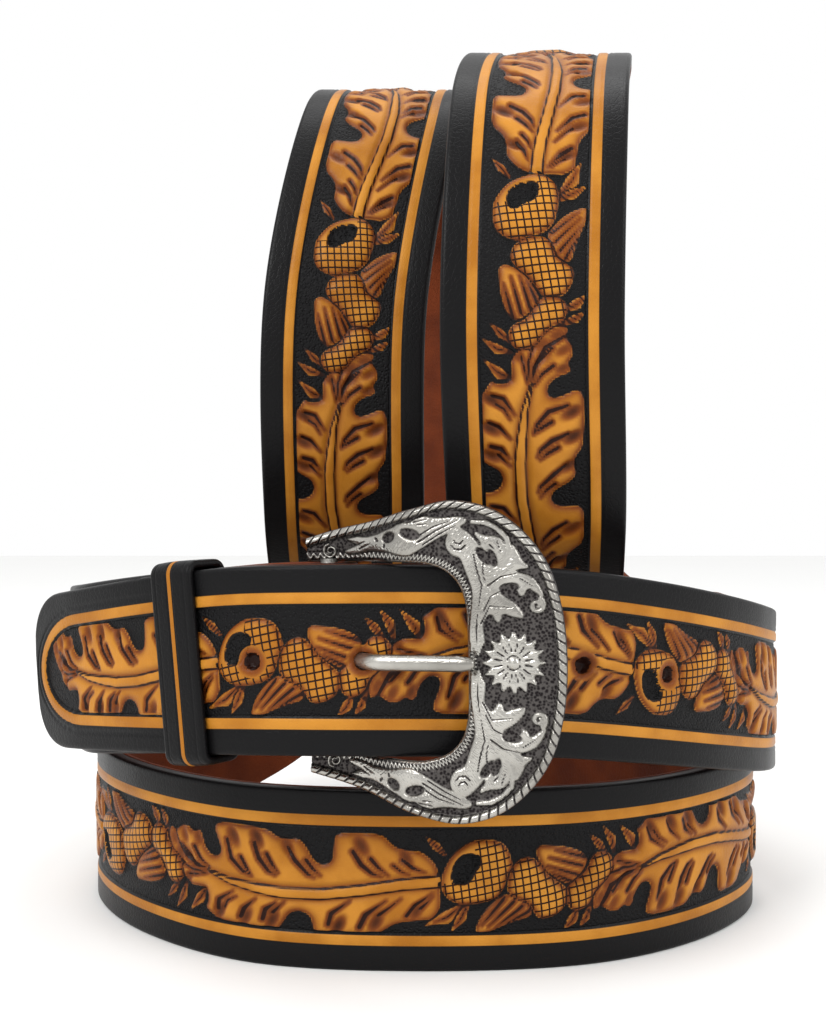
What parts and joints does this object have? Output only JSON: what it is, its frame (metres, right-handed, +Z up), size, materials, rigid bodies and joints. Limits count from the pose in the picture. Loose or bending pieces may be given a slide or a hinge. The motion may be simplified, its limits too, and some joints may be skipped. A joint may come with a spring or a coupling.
{
  "type": "western tooled leather belt, buckled and wound up",
  "caption": "Tooled leather belt with a cast horseshoe buckle, buckled and wound into two level and two upright turns.",
  "frame": {"origin": "bottom centre of the wound belt's box", "axes": "+Z up, -Y the front with the buckle, +X to the right as seen from the front"},
  "size_m": [0.178, 0.217, 0.2047],
  "materials": {
    "tooled_leather": "carved and antiqued, satin",
    "lining_leather": "plain matt",
    "black_leather": "satin",
    "antique_silver": "antiqued and polished on the high spots",
    "steel": "plain"
  },
  "bodies": {
    "root": {"strap": "tooled_leather", "lining": "lining_leather", "keeper": "black_leather", "buckle_frame": "antique_silver", "prong": "antique_silver", "rivet_upper": "steel", "rivet_lower": "steel"}
  },
  "joints": []
}
